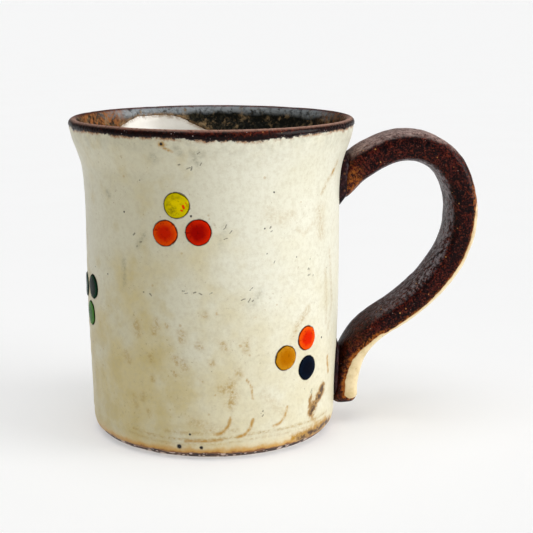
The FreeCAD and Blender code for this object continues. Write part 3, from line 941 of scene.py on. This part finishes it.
def make_handle():
    """The strap: dark iron glaze all over, with the cream stripe laid along its outer edge."""
    nodes = ["strap_handle", "handle_iron_glaze", "handle_cream_glaze"]
    points, normals, faces, edges = remeshed("strap", nodes, STRAP_VOXEL, 3)
    x, y, z = points.T
    near = near_node(points, "handle_cream_glaze", 0.45)
    low_end = (z > 9.2) & (z < 29) & (y < 0)
    near[low_end] = near_node(points[low_end], "handle_cream_glaze", 1.35)
    halo = spread(near, edges, 40)
    ragged = spread(near, edges, 6) + layered(points, 41, (0.14, 2.4), (0.08, 0.9))
    fading = smoothstep(58, 77, z + 3 * lumps(points, 6, 46))
    ragged -= fading * (0.4 + 0.22 * lumps(points, 3.2, 47) + 0.3 * np.abs(y) / 8)
    off = layered(points, 43, (0.10, 5), (0.07, 1.7), (0.22, 19))
    body = points + normals * (off * smoothstep(39.5, 43, x))[:, None]
    tail = smoothstep(38, 26, z)
    root = smoothstep(47.5, 42, x) * smoothstep(86, 76, z) * (z > 60) * smoothstep(-2, -7, y)
    to_hole = (np.array(HANDLE_HOLE) - points) * (1, 0, 1)
    to_hole /= np.linalg.norm(to_hole, axis=1)[:, None]
    facing_hole = (normals * to_hole).sum(axis=1)
    # Painted reflection mask: 1 where the strap's faces look into the handle's hole.
    least = 0.42 + 0.33 * smoothstep(48, 66, z)
    hole_side_reflection = smoothstep(0, 1, (facing_hole - least) / (1 - least))
    hole_side_reflection *= smoothstep(42, 46, x) * smoothstep(27, 36, z)
    outer = smoothstep(-0.3, -0.8, facing_hole) * smoothstep(86, 72, z) * smoothstep(52, 60, x)
    thin = smoothstep(0.05, 0.45, halo) * (0.5 + 0.6 * tail) + 0.8 * root + 0.3 * tail + 0.6 * outer
    masks = {"thin": np.clip(thin, 0, 1), "hole_side_reflection": hole_side_reflection}
    iron = add_mesh("handle_iron_glaze_skin", body, faces, masks)
    dress(iron, "handle_iron_glaze", handle_look(), "strap_handle", "handle_iron_glaze")
    keep = [face for face in faces if max(ragged[i] for i in face) > 0.40]
    used = sorted({i for face in keep for i in face})
    number = {old: new for new, old in enumerate(used)}
    kept_faces = [tuple(number[i] for i in face) for face in keep]
    lift = 0.16 * smoothstep(0.48, 0.72, ragged) - 0.12 * smoothstep(0.56, 0.42, ragged)
    skin = (body + normals * lift[:, None])[used]
    stripe = add_mesh("handle_cream_glaze_stripe", skin, kept_faces, {"inner": ragged[used]})
    shell = stripe.modifiers.new("thickness", "SOLIDIFY")
    shell.thickness = 0.3 * MM
    shell.offset = -1
    dress(stripe, "handle_cream_glaze", stripe_look(), "handle_cream_glaze")


def stripe_look():
    """Cream glaze on the handle, golden where it thins at its edge."""
    look = Look("handle_cream_look")
    look.start(look.patches((3.5, 4, 0.6), 0.4, 0.7), (236, 216, 172), (214, 190, 138))
    inner = look.plus(look.mask("inner"), look.scaled(look.noise(1.2, 3), 0.3))
    look.lay(look.step(inner, 0.86, 0.62), (190, 128, 56))
    high = look.times(look.step(look.z, 46, 76), look.patches((2.0, 5, 0.7), 0.38, 0.62))
    look.lay(high, (176, 118, 58), 0.85)
    look.lay(look.specks(2.2, 0.26, 0.35, 5), (120, 76, 40), 0.6)
    height = look.plus(look.noise(1.0, 3), look.noise(4.0, 2))
    return look.finish(0.3, height, 0.06, Coat_Weight=0.25, Coat_Roughness=0.15)


def joint_look():
    """The slip round each end of the strap: nearly black iron glaze, with violet and brown in it."""
    look = Look("slip_joint_look")
    look.start(look.patches((3.0, 4, 0.6), 0.4, 0.68), (22, 9, 12), (50, 22, 22))
    look.lay(look.patches((0.9, 3, 0.7), 0.5, 0.7), (78, 54, 62), 0.5)
    look.lay(look.specks(1.2, 0.3, 0.3, 4), (120, 78, 50), 0.5)
    return iron_finish(look, 0.3, 0.1, 0.12)


def make_joint(name, node, seed, material):
    """One slip joint as an uneven pressed-in coil."""
    points, normals, faces, _ = remeshed(name, [node], JOINT_VOXEL, 10)
    low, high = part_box(node)
    from_end = np.minimum(points[:, 2] - low.z / MM, high.z / MM - points[:, 2])
    wall = np.array([section.at(section.outside(height))[0] for height in points[:, 2]])
    proud = np.hypot(points[:, 0], points[:, 1]) - wall
    points[:, 0] -= proud * 0.75 * smoothstep(5.0, 0.0, from_end) * (proud > 0)
    off = layered(points, seed, (0.16, 4.5), (0.07, 1.6))
    made = add_mesh(name, points + normals * off[:, None], faces)
    dress(made, "joint_slip", material, node)


make_handle()
slip = joint_look()
make_joint("upper_slip_coil", "upper_slip_joint", 51, slip)
make_joint("lower_slip_coil", "lower_slip_joint", 53, slip)


# ---------------- enamel dots


def enamel_look(name, middle, edge, blot):
    """Glassy overglaze enamel: paler or darker to its edge, blotched, with a thin burnt outline."""
    look = Look("enamel_" + name + "_look")
    outline = [0.22 * value for value in middle]
    reach = look.mask("from_middle")
    uneven = look.plus(reach, look.scaled(look.noise(1.3, 3), 0.5, -0.25))
    look.start(look.step(uneven, 0.35, 0.95), middle, edge)
    look.lay(look.patches((1.1, 3, 0.6), 0.54, 0.70), blot, 0.6)
    look.lay(look.masked("olive", (0.6, 3, 0.7), 0.3, 0.6), (92, 84, 8), 0.8)
    look.lay(look.step(look.mask("ember"), 0.3, 0.7), (226, 62, 4))
    look.lay(look.specks(0.8, 0.12, 0.25, 3), outline, 0.5)
    rim = look.plus(reach, look.scaled(look.noise(1.6, 3), 0.16, -0.08))
    look.lay(look.step(rim, 0.90, 0.97), outline, 0.9)
    rough = look.scaled(look.step(reach, 0.84, 0.95), 0.6, 0.16)
    height = look.plus(look.noise(0.8, 2), look.noise(2.0, 2))
    return look.finish(rough, height, 0.05, Specular_IOR_Level=0.015)


# Each enamel's screen colours: in its middle, at its edge, and in its blotches.
ENAMELS = {
    "yellow": ((228, 202, 0), (206, 188, 2), (150, 128, 0)),
    "orange": ((198, 30, 0), (222, 72, 2), (156, 20, 0)),
    "red": ((158, 6, 0), (206, 32, 0), (112, 2, 0)),
    "ochre": ((176, 104, 0), (192, 130, 20), (140, 78, 0)),
    "vermilion": ((214, 34, 0), (232, 84, 8), (168, 20, 0)),
    "navy": ((4, 8, 22), (8, 18, 34), (2, 4, 10)),
    "bottle_green": ((1, 22, 12), (5, 50, 28), (0, 14, 8)),
    "leaf_green": ((44, 100, 26), (80, 136, 54), (28, 74, 18)),
    "slate": ((42, 62, 58), (72, 94, 86), (28, 42, 40)),
    "cobalt": ((6, 26, 100), (18, 50, 132), (4, 14, 64)),
}
# Marks on the front yellow dot, in mm from its middle to the right and up: line, half width, strength.
MARKED_DOT = "dot_front_yellow"
DOT_MARKS = {
    "olive": [
        ([(-1.8, -1.4), (-0.6, -1.0)], 0.8, 0.9),
        ([(-1.2, 1.8), (0.6, 2.3)], 0.5, 0.6),
        ([(-2.4, 0.2), (-2.0, 1.0)], 0.5, 0.6),
    ],
    "ember": [
        ([(1.9, 0.0), (2.1, -0.6)], 0.42, 1.0),
        ([(1.3, -1.2), (1.7, -1.4)], 0.28, 0.9),
        ([(2.6, 1.0), (2.8, 0.6)], 0.25, 0.7),
    ],
}


def make_dot(node, seed, material, slot):
    """One dot of enamel, domed, a little out of round, lying on the curved wall."""
    azimuth, height = dot_place(node)
    rings, spokes = 15, 64
    shares = np.append(np.linspace(0, 1, rings)[1:], 1.02)
    share, turn = np.meshgrid(shares, np.arange(spokes) * 2 * math.pi / spokes, indexing="ij")
    random = np.random.default_rng(seed)
    out_of_round = 0.0
    for waves in (2, 3, 4, 5, 7):
        size = random.uniform(-0.016, 0.016)
        out_of_round = out_of_round + size * np.cos(waves * turn + random.uniform(0, 6.28))
    reach = DOT_RADIUS * share * (1 + out_of_round * share)
    dome = DOT_RISE * (1 - np.minimum(share, 1) ** 8) ** 0.5 * (0.86 + 0.14 * (1 - share**2))
    dome = np.where(share > 1, -0.25, dome + 0.02)
    across, up = reach * np.cos(turn), reach * np.sin(turn)
    wall = section.outside(height)
    radius = section.at(wall)[0] + GLAZE
    points = [on_clay(azimuth + np.degrees(across / radius), wall + up, GLAZE + dome).reshape(-1, 3)]
    for rise in (DOT_RISE, -0.3):
        points.append(on_clay(np.array([azimuth]), np.array([wall]), GLAZE + rise))
    top, under, last = rings * spokes, rings * spokes + 1, (rings - 1) * spokes
    faces = [face[::-1] for face in ring_faces(rings, spokes)]
    for k in range(spokes):
        m = (k + 1) % spokes
        faces += [(top, k, m), (under, last + m, last + k)]
    masks = {"from_middle": np.concatenate([share.ravel(), [0, 1]])}
    for mask, marks in DOT_MARKS.items():
        shown = painted(across, up, marks if node == MARKED_DOT else [], 1.0)
        masks[mask] = np.concatenate([shown.ravel(), [0, 0]])
    dot = add_mesh(node.replace("dot_", "enamel_dot_"), np.concatenate(points), faces, masks)
    dress(dot, slot, material, node)


enamel_looks = {name: enamel_look(name, *colours) for name, colours in ENAMELS.items()}
for count, node in enumerate(DOTS):
    colour_name = node.split("_", 2)[2]
    make_dot(node, 100 + count, enamel_looks[colour_name], "enamel_" + colour_name)


# ---------------- floor, lights and camera

FLOOR_REACH = 400000  # millimetres
FLOOR_GLOW = 0.42
CAMERA_LENS = 85.6
CAMERA_AT = (-13.2, -379.5, 128.3)  # millimetres
CAMERA_HEADING = 4.45  # degrees to the right of straight back
CAMERA_DOWN = 11.8  # degrees below the horizon


def make_floor():
    """A plain pale floor, wide enough to reach the horizon."""
    corners = [(x * FLOOR_REACH, y * FLOOR_REACH, 0) for x, y in ((-1, -1), (1, -1), (1, 1), (-1, 1))]
    floor = add_mesh("floor", corners, [(0, 1, 2, 3)])
    look = Look("floor_look")
    look.start(look.noise(60, 2), (198, 198, 198), (201, 201, 201))
    glow = {"Emission_Color": (1, 1, 1, 1), "Emission_Strength": FLOOR_GLOW}
    floor.data.materials.append(look.finish(0.9, Specular_IOR_Level=0.0, **glow))


def direction(azimuth, elevation):
    """The unit vector towards an azimuth and an elevation."""
    turn, rise = math.radians(azimuth), math.radians(elevation)
    return Vector((math.sin(turn) * math.cos(rise), -math.cos(turn) * math.cos(rise), math.sin(rise)))


def aim(made, axis, along):
    """Turns a light or camera so that its axis points that way."""
    made.rotation_mode = "QUATERNION"
    made.rotation_quaternion = along.to_track_quat(axis, "Y")


def make_sun(name, azimuth, elevation, strength, width, colour):
    """A soft light from one side of the sky. Width is its apparent size in degrees."""
    data = bpy.data.lights.new(name, "SUN")
    data.energy = strength
    data.angle = math.radians(width)
    data.color = colour
    lamp = new_object(name, data)
    lamp.location = direction(azimuth, elevation)
    aim(lamp, "Z", direction(azimuth, elevation))


def make_sky(level, horizon):
    """An even pale room, brighter along the horizon so that the floor runs into it without a line."""
    world = bpy.data.worlds.new("studio")
    bpy.context.scene.world = world
    world.use_nodes = True
    tree = world.node_tree
    tree.nodes.clear()
    split = add_node(tree, "SeparateXYZ", {0: add_node(tree, "TexCoord")["Generated"]})
    ends = {"From Min": 0.004, "From Max": 0.03, "To Min": horizon, "To Max": level}
    ramp = add_node(tree, "MapRange", {"Value": split["Z"], **ends}, interpolation_type="SMOOTHSTEP")
    light = {"Color": (1, 1, 1, 1), "Strength": ramp["Result"]}
    add_node(tree, "OutputWorld", {"Surface": add_node(tree, "Background", light)[0]})


def make_camera():
    """The view from the front, a little above the rim."""
    data = bpy.data.cameras.new("camera")
    data.sensor_width = 36
    data.lens = CAMERA_LENS
    data.clip_start = 0.01
    data.clip_end = 2000
    camera = new_object("camera", data)
    camera.location = Vector(CAMERA_AT) * MM
    aim(camera, "-Z", direction(180 - CAMERA_HEADING, -CAMERA_DOWN))
    bpy.context.scene.camera = camera


make_floor()
make_sky(0.18, 0.93)
make_sun("key_from_the_right", 70, 14, 2.62, 40, (1.0, 0.995, 0.98))
make_sun("overhead", -20, 80, 1.6, 50, (0.98, 0.99, 1.0))
make_camera()
bpy.context.scene.view_settings.view_transform = "Standard"
